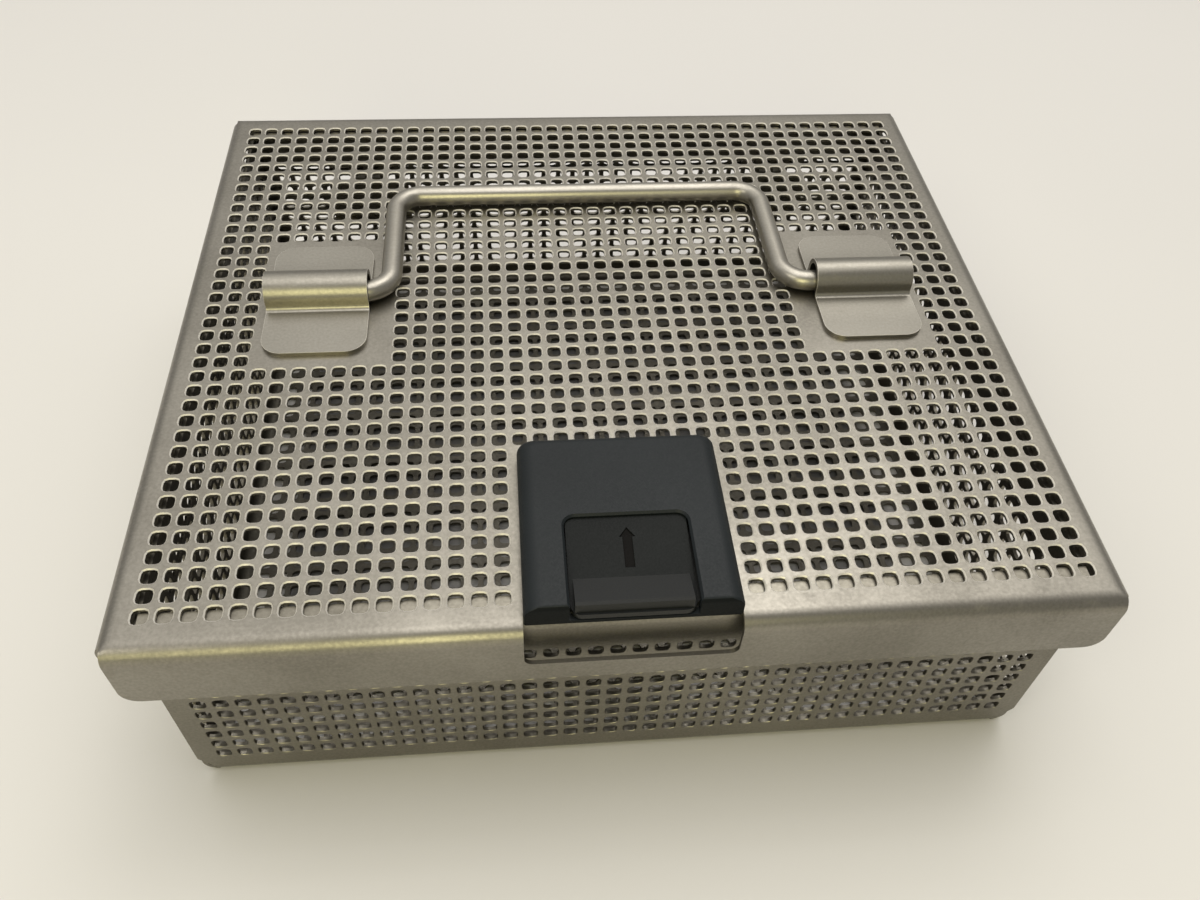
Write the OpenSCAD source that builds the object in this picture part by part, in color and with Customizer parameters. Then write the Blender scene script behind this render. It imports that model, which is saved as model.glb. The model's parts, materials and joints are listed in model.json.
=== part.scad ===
// Instrument cassette for sterilising and carrying hand instruments.
// A perforated sheet-steel tray has a hinged perforated lid. The lid carries
// a folding round-rod handle in two pressed brackets, and a moulded latch
// with a sprung slider at its front edge.
// Millimetres. X is the width, Y runs to the back, Z is up. The origin is the
// middle of the tray's underside.

/* [Case] */

// Width over the lid's side flanges
lid_width = 222; // [216:1:232]
// Depth over the lid's front and back flanges
lid_depth = 199; // [193:1:209]
// Height from the resting surface to the lid's top
case_height = 66; // [60:1:80]
// Thickness of the sheet steel
sheet = 1; // [0.8:0.1:1.3]
// How far the lid's flanges reach down
lid_skirt = 18.5; // [17:0.5:24]
// Outer radius of the lid's bends
lid_bend = 4; // [3:0.5:5]
// Gap between tray and lid flange at the sides
side_gap = 5.5; // [4.5:0.5:7]
// Gap between tray and lid flange at the front and back
end_gap = 3.5; // [3:0.5:5]
// Gap between the tray's top lips and the closed lid
lid_rest_gap = 0.3; // [0.2:0.1:0.6]
// Outer radius of the tray's bottom bends
tray_bend = 3.5; // [2.5:0.5:5]
// Outer radius of the tray's top lip bends
lip_bend = 4; // [3:0.5:5]
// Width of the lips turned in on the tray's front and back walls
lip_width = 6.5; // [6:0.5:7.5]
// Flat facets in each sheet bend
bend_facets = 4; // [3:1:6]

/* [Perforation] */

// Side of each square hole
hole = 3.5; // [3:0.1:4]
// Distance from hole to hole
pitch = 5; // [4.8:0.1:5.2]
// Height of the lowest row of holes in the walls
wall_first_row = 10.6; // [9.6:0.5:12.6]

/* [Handle] */

// Diameter of the handle's round rod
rod_dia = 5.7; // [5:0.1:6]
// Half the distance between the handle's legs, centre to centre
handle_half = 53.95; // [48.95:0.25:60.95]
// How far the handle is shifted sideways in its brackets
handle_shift = -1.4; // [-1.5:0.1:1.5]
// Distance from the pivot to the grip's centre line
handle_reach = 42.6; // [36:0.2:46]
// Centre-line radius of the handle's four bends
handle_bend = 7.3; // [6:0.1:9]
// Length of the straight pivot end beyond each bend
pivot_end = 23.2; // [18:0.2:24]

/* [Handle brackets] */

// Width of each bracket's strip
bracket_width = 27; // [25:0.5:30]
// Thickness of the brackets' strip steel
bracket_sheet = 1.2; // [1:0.1:1.4]
// Position of the handle's pivot behind the middle
pivot_y = 7; // [4:0.5:9]
// Reach of the bracket's front tab from the pivot
tab_front = 21; // [18:0.5:23]
// Reach of the bracket's rear tab from the pivot
tab_rear = 22; // [19:0.5:24]
// Corner radius of the tabs
tab_corner = 5; // [3:0.5:7]
// How much wider than the rod the brackets' channel is
channel_play = 2.2; // [1.4:0.1:2.6]
// Gap between the rod and the top of the channel
channel_head = 1.6; // [0.6:0.1:2]

/* [Latch] */

// Width of the latch housing
latch_width = 46.8; // [46:0.2:47.6]
// Distance from the lid's front face to the housing's back
latch_reach = 50; // [50:0.5:52]
// Height of the housing above the lid
latch_height = 6; // [5.8:0.1:7]
// Width of the slider's opening
pad_width = 27.6; // [26:0.2:29]
// Length of the slider's opening, from the housing's front
pad_length = 23.6; // [22:0.2:25]
// Travel of the slider
latch_travel = 5; // [4:0.5:5]
// How far the bolt reaches under the tray's lip
bolt_grip = 3.5; // [2.5:0.5:3.5]
// Width of the bolt
bolt_width = 14; // [10:1:20]

/* [Hinge] */

// Distance from the lid's side to the middle of each hinge
hinge_inset = 41; // [30:1:55]
// Outer radius of the knuckles
knuckle_r = 2.6; // [2.4:0.1:2.8]
// Radius of the hinge pins
pin_r = 1.25; // [1:0.05:1.4]
// Length of the tray's knuckle
knuckle_mid = 10; // [8:1:14]
// Length of each of the lid's two knuckles
knuckle_end = 8; // [6:1:10]
// Thickness of the hinge leaves
leaf = 1.2; // [1:0.1:1.5]
// Height of the lid's hinge leaves
lid_leaf_height = 10; // [7:0.5:10.5]
// Height of the tray's hinge leaves
tray_leaf_height = 18; // [12:1:22]

/* [Shown] */

// Piece to build, or all of them

/* [Hidden] */

// Overshoot of every cutting shape
eps = 1;
// Running gap between flat moulded faces
slide_gap = 0.3;
steel = [0.78, 0.79, 0.80];
polished = [0.86, 0.87, 0.88];
grey_plastic = [0.20, 0.23, 0.28];
dark_plastic = [0.16, 0.16, 0.18];

// Main half sizes of the lid and the tray.
lid_hw = lid_width / 2;
lid_hd = lid_depth / 2;
skirt_z = case_height - lid_skirt;
tray_hw = lid_hw - sheet - side_gap;
tray_hd = lid_hd - sheet - end_gap;
tray_top = case_height - sheet - lid_rest_gap;
lip_y = tray_hd - lip_width;

// Whole numbers of holes that fit each face.
lid_cols = 2 * floor((lid_hw - 6.5 - hole / 2) / pitch + 0.5);
lid_rows = 2 * floor((lid_hd - 7 - hole / 2) / pitch) + 1;
tray_cols = 2 * floor((tray_hw - 5 - hole / 2) / pitch + 0.5);
tray_rows = 2 * floor((tray_hd - 5 - hole / 2) / pitch + 0.5);
wall_rows = floor((tray_top - wall_first_row - hole / 2 - 12) / pitch) + 1;
wall_mid = wall_first_row + (wall_rows - 1) / 2 * pitch;
// Hairline that parts the two slotted layers of a perforated face.
hairline = 0.02;

// Where the lid's flanges end at its corners, and their rounding.
flange_end_x = lid_hw - 1.7;
flange_end_y = lid_hd - 3.2;
flange_round = 4;

// Handle and bracket heights.
rod_r = rod_dia / 2;
rod_z = case_height + 0.3 + rod_r;
// The bends start just inside the brackets' inner edges.
bracket_inner = handle_half + handle_bend - 0.25;
// The rod lies at the front of the brackets' channel, close to its wall.
rod_gap = 0.35;
channel_r = rod_r + channel_play / 2 + bracket_sheet;
channel_y = pivot_y + channel_play / 2 - rod_gap;
channel_z = rod_z + rod_r + channel_head + bracket_sheet - channel_r;
channel_facets = 10;
tab_z = case_height + bracket_sheet;

// Latch.
latch_front = -(lid_hd - 2.5);
latch_back = -(lid_hd - latch_reach);
latch_top = case_height + latch_height;
housing_round = 3;
roof = 0.9;
sill_thick = 1.8;
sill_height = 1;
cavity_top = latch_top - roof;
cavity_hw = pad_width / 2 + 2.4;
cavity_front = latch_front + sill_thick;
cavity_back = latch_back - 2.6;
slider_hw = cavity_hw - slide_gap;
slider_top = cavity_top - 0.15;
slider_low = case_height + 0.2;
slider_front = cavity_front + 0.4;
spring_length = 9.9;
slider_back = cavity_back - spring_length;

// Shape of the slider's pad: it slopes down to a thumb ridge near the front
// and ends in a nose over the housing's sill.
pad_back = latch_front + pad_length;
pad_hw = pad_width / 2 - slide_gap;
pad_round = 2.5;
guide_top = latch_top - 3.5;
nose_front = latch_front + 0.1;
nose_low = case_height + sill_height + slide_gap;
nose_top = latch_top - 3.2;
ridge_hw = pad_hw - 0.9;
ridge_foot = latch_front + 8.7;
ridge_foot_z = latch_top - 2.6;
ridge_crest = latch_front + 1;
ridge_crest_z = latch_top - 0.6;
arrow_tip = 2.8;
arrow_depth = 0.4;
window_hw = latch_width / 2 + 0.1;
window_low = case_height - 12;
screw_x = (cavity_hw + latch_width / 2) / 2 - 0.2;
screw_inset = 6.5;
screw_spacing = 19.5;
screw_ys = [latch_back - screw_inset, latch_back - screw_inset - screw_spacing];
screw_r = 1.2;
screw_depth = 3.5;
screw_head = 1.3;
plate_thick = 1.2;
plate_margin = 3.4;
bolt_thick = 1.5;
web_rise = 2;
toe_top = tray_top - sheet - slide_gap;
toe_low = toe_top - 1.2;
bolt_back = -lip_y + 1 + bolt_thick;
bolt_slot_back = bolt_back + latch_travel + 0.8;
spring_x = 9;
spring_z = (slider_low + slider_top) / 2;
spring_r = 1.3;
spring_wire = 0.25;
spring_turns = 7;

// Hinge axis, behind and just below the lid's back flange.
hinge_y = lid_hd + knuckle_r + 0.4;
hinge_z = skirt_z - 1.5;
knuckle_gap = 0.3;
hinge_x = lid_hw - hinge_inset;
leaf_width = knuckle_mid + 2 * knuckle_gap + 2 * knuckle_end;

// Points of an arc, as the flat facets of a sheet bend.
function arc(cx, cy, r, a0, a1, n = bend_facets) =
  [for (k = [0 : n]) [cx + r * cos(a0 + (a1 - a0) * k / n), cy + r * sin(a0 + (a1 - a0) * k / n)]];

// Unit normal on the right of the way from p to q.
function side(p, q) = [q[1] - p[1], p[0] - q[0]] / norm(q - p);

// Point of the mitred line at distance t to the right of a path's point k.
function mitre(path, k, t) =
  let (
    last = len(path) - 1,
    a = side(path[max(k - 1, 0)], path[max(k, 1)]),
    b = side(path[min(k, last - 1)], path[min(k + 1, last)]),
    m = a + b
  )
  path[k] + t * 2 * m / (m * m);

// Closed outline of a strip of thickness t to the right of a path.
function strip(path, t) =
  concat(path, [for (k = [len(path) - 1 : -1 : 0]) mitre(path, k, t)]);

// Section of a pan turned upside down, with rounded shoulders.
module pan_section(half, top, low, r) {
  polygon(concat([[-half, low]], arc(-half + r, top - r, r, 180, 90),
                 arc(half - r, top - r, r, 90, 0), [[half, low]]));
}

// Section with four rounded corners.
module box_section(half, low, top, r_low, r_top) {
  polygon(concat(arc(-half + r_low, low + r_low, r_low, 270, 180),
                 arc(-half + r_top, top - r_top, r_top, 180, 90),
                 arc(half - r_top, top - r_top, r_top, 90, 0),
                 arc(half - r_low, low + r_low, r_low, 0, -90)));
}

// Rows of slots that run along X, centred on the origin.
module slots_x(nx, ny) {
  long = (nx - 1) * pitch + hole;
  for (j = [0 : ny - 1])
    translate([-long / 2, (j - (ny - 1) / 2) * pitch - hole / 2])
      square([long, hole]);
}

// Rows of slots that run along Y, centred on the origin.
module slots_y(nx, ny) {
  rotate(90) slots_x(ny, nx);
}

// Outline of a whole perforated field.
module field(nx, ny) {
  square([(nx - 1) * pitch + hole, (ny - 1) * pitch + hole], center = true);
}

// Cutter that perforates a flat sheet lying from z = 0 to z = sheet.
// Crossed slots meet at every square hole. Children are left plain.
module perforation(nx, ny) {
  translate([0, 0, sheet / 2])
    linear_extrude(sheet)
      difference() {
        slots_x(nx, ny);
        children();
      }
  translate([0, 0, -sheet / 2])
    linear_extrude(sheet)
      difference() {
        slots_y(nx, ny);
        children();
      }
  translate([0, 0, (sheet - hairline) / 2])
    linear_extrude(hairline)
      difference() {
        field(nx, ny);
        children();
      }
}

// Solid form of the tray, smaller all round by the inset.
module tray_form(inset) {
  intersection() {
    rotate([90, 0, 90])
      linear_extrude(2 * (tray_hw - inset), center = true)
        box_section(tray_hd - inset, inset, tray_top - inset, tray_bend - inset, lip_bend - inset);
    rotate([90, 0, 0])
      linear_extrude(2 * (tray_hd - inset), center = true)
        mirror([0, 1])
          pan_section(tray_hw - inset, -inset, -tray_top - eps, tray_bend - inset);
  }
}

// Cut that ends a lip just inside the side wall.
module lip_end_cut() {
  end = sheet + 0.15;
  translate([tray_hw - end, lip_y - 0.5, tray_top - lip_bend])
    cube([end + eps, lip_width + 0.5 + eps, lip_bend + eps]);
}

// Slanting relief cut at a lower corner of the tray's front or back wall.
module foot_corner_cut() {
  reach = tray_bend - 0.3;
  translate([0, tray_hd + eps, 0])
    rotate([90, 0, 0])
      linear_extrude(reach + eps)
        polygon([[tray_hw + eps, 11], [tray_hw - 0.4, 11], [tray_hw - reach, 2.4],
                 [tray_hw - reach, -eps], [tray_hw + eps, -eps]]);
}

// Perforated tray, folded from one sheet.
module base_tray() {
  color(steel)
    difference() {
      tray_form(0);
      tray_form(sheet);
      translate([-tray_hw - eps, -lip_y, tray_top - 1.4])
        cube([2 * (tray_hw + eps), 2 * lip_y, 1.4 + eps]);
      for (x = [0, 1], y = [0, 1])
        mirror([x, 0, 0])
          mirror([0, y, 0]) {
            lip_end_cut();
            foot_corner_cut();
          }
      perforation(tray_cols, tray_rows);
      for (turn = [0, 180])
        rotate([0, 0, turn])
          translate([0, sheet - tray_hd, wall_mid])
            rotate([90, 0, 0])
              perforation(tray_cols, wall_rows);
      for (turn = [90, 270])
        rotate([0, 0, turn])
          translate([0, sheet - tray_hw, wall_mid])
            rotate([90, 0, 0])
              perforation(tray_rows, wall_rows);
    }
}

// Solid form of the lid, smaller all round by the inset.
module lid_form(inset) {
  low = inset > 0 ? skirt_z - eps : skirt_z;
  intersection() {
    rotate([90, 0, 90])
      linear_extrude(2 * (lid_hw - inset), center = true)
        pan_section(lid_hd - inset, case_height - inset, low, lid_bend - inset);
    rotate([90, 0, 0])
      linear_extrude(2 * (lid_hd - inset), center = true)
        pan_section(lid_hw - inset, case_height - inset, low, lid_bend - inset);
  }
}

// Notch at one corner of the lid, which parts its flanges and bends.
module corner_notch() {
  translate([flange_end_x, flange_end_y, skirt_z - eps])
    cube([lid_hw, lid_hd, lid_skirt + 2 * eps]);
}

// Piece cut off a flange's lower corner to round it. The corner is at x.
module flange_corner_cut(x) {
  polygon(concat([[x + eps, skirt_z - eps], [x - flange_round, skirt_z - eps]],
                 arc(x - flange_round, skirt_z + flange_round, flange_round, 270, 360),
                 [[x + eps, skirt_z + flange_round]]));
}

// First and last hole left out near a piece that starts at a or ends at b.
// Hole k is centred at (k + shift) * pitch.
function first_out(a, shift, margin) = ceil((a - margin - hole / 2) / pitch - shift);
function last_out(b, shift, margin) = floor((b + margin + hole / 2) / pitch - shift);

// Plain rectangle that takes the place of those holes.
module plain_area(x0, x1, y0, y1) {
  edge = pitch - hole / 2;
  translate([(x0 + 0.5) * pitch - edge, y0 * pitch - edge])
    square([(x1 - x0) * pitch + 2 * edge, (y1 - y0) * pitch + 2 * edge]);
}

// Areas of the lid that have no holes: under the brackets and the latch.
module plain_patches() {
  near = 2.5;
  close = 1;
  latch_cols = last_out(latch_width / 2, 0.5, close);
  for (s = [0, 1])
    mirror([s, 0])
      plain_area(first_out(bracket_inner, 0.5, near),
                 last_out(bracket_inner + bracket_width, 0.5, near),
                 first_out(pivot_y - tab_front, 0, near),
                 last_out(pivot_y + tab_rear, 0, near));
  plain_area(-1 - latch_cols, latch_cols, -(lid_rows - 1) / 2 - 1, last_out(latch_back, 0, close));
}

// Window in the lid's front flange, open to the top, with rounded corners.
module front_window() {
  translate([0, -lid_hd + 5.5, 0])
    rotate([90, 0, 0])
      linear_extrude(5.5 + eps)
        polygon(concat(arc(-window_hw + 2, window_low + 2, 2, 180, 270),
                       arc(window_hw - 2, window_low + 2, 2, 270, 360),
                       [[window_hw, case_height + eps], [-window_hw, case_height + eps]]));
}

// Perforated lid, folded from one sheet.
module lid_sheet() {
  color(steel)
    difference() {
      lid_form(0);
      lid_form(sheet);
      for (x = [0, 1], y = [0, 1])
        mirror([x, 0, 0])
          mirror([0, y, 0])
            corner_notch();
      for (x = [0, 1])
        mirror([x, 0, 0])
          rotate([90, 0, 0])
            linear_extrude(2 * lid_depth, center = true)
              flange_corner_cut(flange_end_x);
      for (y = [0, 1])
        mirror([0, y, 0])
          rotate([90, 0, 90])
            linear_extrude(2 * lid_width, center = true)
              flange_corner_cut(flange_end_y);
      front_window();
      translate([-bolt_width / 2 - 0.6, -lid_hd + 5, case_height - sheet - eps])
        cube([bolt_width + 1.2, lid_hd - 5 + bolt_slot_back, sheet + 2 * eps]);
      for (x = [-screw_x, screw_x], y = screw_ys)
        translate([x, y, case_height - sheet - eps])
          cylinder(r = screw_r + 0.15, h = sheet + 2 * eps, $fn = 12);
      translate([0, 0, case_height - sheet])
        perforation(lid_cols, lid_rows)
          plain_patches();
    }
}

// Plan of a bracket's strip, with its tab corners rounded.
module bracket_plan() {
  translate([bracket_inner, pivot_y - tab_front])
    offset(r = tab_corner, $fn = 40)
      offset(delta = -tab_corner)
        square([bracket_width, tab_front + tab_rear]);
}

// Right bracket: a strip with a pressed channel that holds the rod.
module bracket() {
  root = 0.9;
  path = concat([[pivot_y - tab_front, tab_z],
                 [channel_y - channel_r - root, tab_z],
                 [channel_y - channel_r, tab_z + root]],
                arc(channel_y, channel_z, channel_r, 180, 0, channel_facets),
                [[channel_y + channel_r, tab_z + root],
                 [channel_y + channel_r + root, tab_z],
                 [pivot_y + tab_rear, tab_z]]);
  intersection() {
    translate([bracket_inner, 0, 0])
      rotate([90, 0, 90])
        linear_extrude(bracket_width)
          polygon(strip(path, bracket_sheet));
    translate([0, 0, case_height - eps])
      linear_extrude(latch_height + 10)
        bracket_plan();
  }
}

module handle_bracket_right() {
  color(steel) bracket();
}

module handle_bracket_left() {
  color(steel) mirror([1, 0, 0]) bracket();
}

// Quarter bend of the rod about the origin, from +X to +Y.
module rod_bend() {
  rotate_extrude(angle = 90, $fn = 48)
    translate([handle_bend, 0])
      circle(r = rod_r, $fn = 24);
}

// Right half of the handle: pivot end, leg and half of the grip.
module handle_half_rod() {
  pivot_start = handle_half + handle_bend;
  grip = handle_half - handle_bend;
  translate([pivot_start, 0, 0])
    rotate([0, 90, 0])
      cylinder(r = rod_r, h = pivot_end, $fn = 24);
  translate([pivot_start, handle_bend, 0])
    rotate([0, 0, 180])
      rod_bend();
  translate([handle_half, handle_bend, 0])
    rotate([-90, 0, 0])
      cylinder(r = rod_r, h = handle_reach - 2 * handle_bend, $fn = 24);
  translate([grip, handle_reach - handle_bend, 0])
    rod_bend();
  translate([0, handle_reach, 0])
    rotate([0, 90, 0])
      cylinder(r = rod_r, h = grip, $fn = 24);
}

// Folding handle, bent from one round rod.
module handle_bail() {
  color(polished)
    translate([handle_shift, pivot_y, rod_z])
      for (s = [0, 1])
        mirror([s, 0, 0])
          handle_half_rod();
}

// Outer form of the latch housing, bevelled on its flanks and back.
module housing_form() {
  hw = latch_width / 2;
  intersection() {
    rotate([90, 0, 0])
      translate([0, 0, -latch_back])
        linear_extrude(latch_back - latch_front)
          polygon(concat([[-hw, case_height]],
                         arc(-hw + 3.4, latch_top - 3.4, 3.4, 180, 90, 5),
                         arc(hw - 3.4, latch_top - 3.4, 3.4, 90, 0, 5),
                         [[hw, case_height]]));
    translate([-hw, 0, 0])
      rotate([90, 0, 90])
        linear_extrude(2 * hw)
          polygon([[latch_front, case_height], [latch_front, latch_top - 3],
                   [latch_front + 0.3, latch_top - 1], [latch_front + 1.2, latch_top],
                   [latch_back - 2.4, latch_top],
                   [latch_back - 0.7, latch_top - 0.8], [latch_back, latch_top - 2.8],
                   [latch_back, case_height]]);
    linear_extrude(latch_top + eps)
      polygon(concat([[-hw, latch_front], [hw, latch_front]],
                     arc(hw - housing_round, latch_back - housing_round, housing_round, 0, 90, 6),
                     arc(-hw + housing_round, latch_back - housing_round, housing_round, 90, 180, 6)));
  }
}

// Latch housing with its slider way, finger opening and screw holes.
module latch_housing() {
  half = pad_width / 2;
  color(grey_plastic)
    difference() {
      housing_form();
      translate([-cavity_hw, cavity_front, case_height - eps])
        cube([2 * cavity_hw, cavity_back - cavity_front, cavity_top - case_height + eps]);
      translate([0, 0, case_height + sill_height])
        linear_extrude(latch_height)
          polygon(concat([[-half, latch_front - eps], [half, latch_front - eps]],
                         arc(half - pad_round, pad_back - pad_round, pad_round, 0, 90, 5),
                         arc(-half + pad_round, pad_back - pad_round, pad_round, 90, 180, 5)));
      for (x = [-screw_x, screw_x], y = screw_ys)
        translate([x, y, case_height - eps])
          cylinder(r = screw_r, h = screw_depth + eps, $fn = 24);
    }
}

// Backing plate under the lid, which the latch screws clamp.
module latch_plate() {
  color(steel)
    difference() {
      translate([-screw_x - plate_margin, screw_ys[1] - plate_margin, case_height - sheet - plate_thick])
        cube([2 * (screw_x + plate_margin), screw_spacing + 2 * plate_margin, plate_thick]);
      for (x = [-screw_x, screw_x], y = screw_ys)
        translate([x, y, case_height - sheet - plate_thick - eps])
          cylinder(r = screw_r + 0.15, h = plate_thick + 2 * eps, $fn = 24);
    }
}

// One latch screw, driven up from under the backing plate.
module latch_screw(x, y) {
  seat = case_height - sheet - plate_thick;
  color(polished)
    translate([x, y, 0])
      difference() {
        union() {
          translate([0, 0, seat - screw_head])
            cylinder(r1 = 1.6 * screw_r, r2 = 2 * screw_r, h = screw_head, $fn = 24);
          translate([0, 0, seat])
            cylinder(r = screw_r, h = plate_thick + sheet + screw_depth - 0.3, $fn = 24);
        }
        for (turn = [0, 90])
          rotate([0, 0, turn])
            translate([-screw_r, -0.25, seat - screw_head - eps])
              cube([2 * screw_r, 0.5, screw_head / 2 + eps]);
      }
}

module latch_screw_1() {
  latch_screw(-screw_x, screw_ys[0]);
}

module latch_screw_2() {
  latch_screw(screw_x, screw_ys[0]);
}

module latch_screw_3() {
  latch_screw(-screw_x, screw_ys[1]);
}

module latch_screw_4() {
  latch_screw(screw_x, screw_ys[1]);
}

// Slot of the slider that takes the bolt's upright web.
module bolt_web(low, top) {
  translate([-bolt_width / 2, bolt_back - bolt_thick, low])
    cube([bolt_width, bolt_thick, top - low]);
}

// Plate of the given half width along the slider, from a side profile.
module slider_plate(half, profile) {
  rotate([90, 0, 90])
    linear_extrude(2 * half, center = true)
      polygon(profile);
}

// Pad of the slider, with the ridge that the thumb pushes.
module slider_pad() {
  intersection() {
    union() {
      slider_plate(pad_hw, [[nose_front, nose_low], [nose_front, nose_top],
                            [ridge_foot, ridge_foot_z], [pad_back, slider_top],
                            [slider_back, slider_top], [slider_back, slider_low],
                            [slider_front, slider_low], [slider_front, nose_low]]);
      slider_plate(ridge_hw, [[ridge_foot, ridge_foot_z - 0.5], [ridge_foot, ridge_foot_z],
                              [ridge_crest + 0.7, ridge_crest_z],
                              [ridge_crest, ridge_crest_z - 0.3],
                              [ridge_crest - 0.4, nose_top - 0.4]]);
    }
    linear_extrude(latch_top)
      polygon(concat([[pad_hw, slider_back], [-pad_hw, slider_back]],
                     arc(-pad_hw + pad_round, nose_front + pad_round, pad_round, 180, 270, 5),
                     arc(pad_hw - pad_round, nose_front + pad_round, pad_round, 270, 360, 5)));
  }
}

// Arrow sunk in the sloping pad, pointing the way the slider is pushed.
module arrow_cut() {
  slope = atan2(slider_top - ridge_foot_z, pad_back - ridge_foot);
  translate([0, pad_back, slider_top])
    rotate([slope, 0, 0])
      translate([0, -arrow_tip, -arrow_depth])
        linear_extrude(arrow_depth + eps)
          polygon([[0, 0], [-1.8, -2.4], [-1.1, -2.4], [-1.1, -10],
                   [1.1, -10], [1.1, -2.4], [1.8, -2.4]]);
}

// Slider: guide block, pad with a sunk arrow, and two spring pegs.
module latch_slider() {
  color(dark_plastic)
    difference() {
      union() {
        translate([-slider_hw, slider_front, slider_low])
          cube([2 * slider_hw, slider_back - slider_front, guide_top - slider_low]);
        slider_pad();
        for (x = [-spring_x, spring_x])
          translate([x, slider_back, spring_z])
            rotate([-90, 0, 0])
              cylinder(r = 0.8, h = 2.5, $fn = 16);
      }
      bolt_web(slider_low - eps, slider_low + web_rise);
      arrow_cut();
    }
}

// Bolt: an upright web set in the slider, with a toe under the tray's lip.
module latch_bolt() {
  color(steel)
    union() {
      bolt_web(toe_low, slider_low + web_rise);
      translate([-bolt_width / 2, -lip_y - bolt_grip, toe_low])
        cube([bolt_width, bolt_grip + lip_y + bolt_back, toe_top - toe_low]);
    }
}

// One compression spring, a single helical wire along Y.
module latch_spring(x) {
  rings = 12 * spring_turns;
  sides = 5;
  y0 = slider_back + spring_wire + 0.02;
  y1 = cavity_back - spring_wire - 0.02;
  points = [for (k = [0 : rings], s = [0 : sides - 1])
    let (
      turn = 360 * spring_turns * k / rings,
      r = spring_r + spring_wire * cos(360 * s / sides),
      y = y0 + (y1 - y0) * k / rings + spring_wire * sin(360 * s / sides)
    )
    [x + r * cos(turn), y, spring_z + r * sin(turn)]];
  walls = [for (k = [0 : rings - 1], s = [0 : sides - 1])
    let (a = k * sides + s, b = k * sides + (s + 1) % sides)
    each [[a, b, b + sides], [a, b + sides, a + sides]]];
  start = [for (s = [sides - 1 : -1 : 0]) s];
  end = [for (s = [0 : sides - 1]) rings * sides + s];
  color(polished)
    polyhedron(points, concat(walls, [start, end]));
}

module latch_spring_left() {
  latch_spring(-spring_x);
}

module latch_spring_right() {
  latch_spring(spring_x);
}

// Tray's half of a hinge: a leaf on the back wall with an arm and a knuckle.
module base_hinge(x) {
  low = hinge_z - knuckle_r;
  color(steel)
    translate([x, 0, 0])
      difference() {
        union() {
          translate([-leaf_width / 2, tray_hd, low - tray_leaf_height])
            cube([leaf_width, leaf, tray_leaf_height]);
          translate([-knuckle_mid / 2, tray_hd, low - leaf])
            cube([knuckle_mid, leaf, 2 * leaf]);
          translate([-knuckle_mid / 2, tray_hd, low])
            cube([knuckle_mid, hinge_y - tray_hd, leaf]);
          translate([-knuckle_mid / 2, hinge_y, hinge_z])
            rotate([0, 90, 0])
              cylinder(r = knuckle_r, h = knuckle_mid, $fn = 32);
        }
        translate([-leaf_width, hinge_y, hinge_z])
          rotate([0, 90, 0])
            cylinder(r = pin_r + 0.06, h = 2 * leaf_width, $fn = 24);
      }
}

module base_hinge_left() {
  base_hinge(-hinge_x);
}

module base_hinge_right() {
  base_hinge(hinge_x);
}

// Lid's half of a hinge: a leaf on the back flange with two knuckles.
module lid_hinge(x) {
  color(steel)
    translate([x, 0, 0])
      difference() {
        union() {
          translate([-leaf_width / 2, lid_hd, hinge_z + knuckle_r + 0.8])
            cube([leaf_width, leaf, lid_leaf_height]);
          for (s = [-leaf_width / 2, leaf_width / 2 - knuckle_end]) {
            translate([s, lid_hd, hinge_z])
              cube([knuckle_end, leaf, knuckle_r + 2]);
            translate([s, hinge_y, hinge_z])
              rotate([0, 90, 0])
                cylinder(r = knuckle_r, h = knuckle_end, $fn = 32);
          }
        }
        translate([-leaf_width, hinge_y, hinge_z])
          rotate([0, 90, 0])
            cylinder(r = pin_r, h = 2 * leaf_width, $fn = 24);
      }
}

module lid_hinge_left() {
  lid_hinge(-hinge_x);
}

module lid_hinge_right() {
  lid_hinge(hinge_x);
}

// Hinge pin, held in the lid's knuckles and turning in the tray's.
module hinge_pin(x) {
  color(polished)
    translate([x - leaf_width / 2 - 0.4, hinge_y, hinge_z])
      rotate([0, 90, 0])
        cylinder(r = pin_r, h = leaf_width + 0.8, $fn = 24);
}

module hinge_pin_left() {
  hinge_pin(-hinge_x);
}

module hinge_pin_right() {
  hinge_pin(hinge_x);
}

base_tray();
base_hinge_left();
base_hinge_right();
lid_sheet();
lid_hinge_left();
lid_hinge_right();
hinge_pin_left();
hinge_pin_right();
handle_bracket_left();
handle_bracket_right();
handle_bail();
latch_housing();
latch_plate();
latch_screw_1();
latch_screw_2();
latch_screw_3();
latch_screw_4();
latch_slider();
latch_bolt();
latch_spring_left();
latch_spring_right();
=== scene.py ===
# Looks of the perforated instrument cassette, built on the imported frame.
# Sizes are in millimetres here and become metres when a mesh is made.
import json
import math
import bmesh
import bpy
from mathutils import Matrix, Vector

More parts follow.
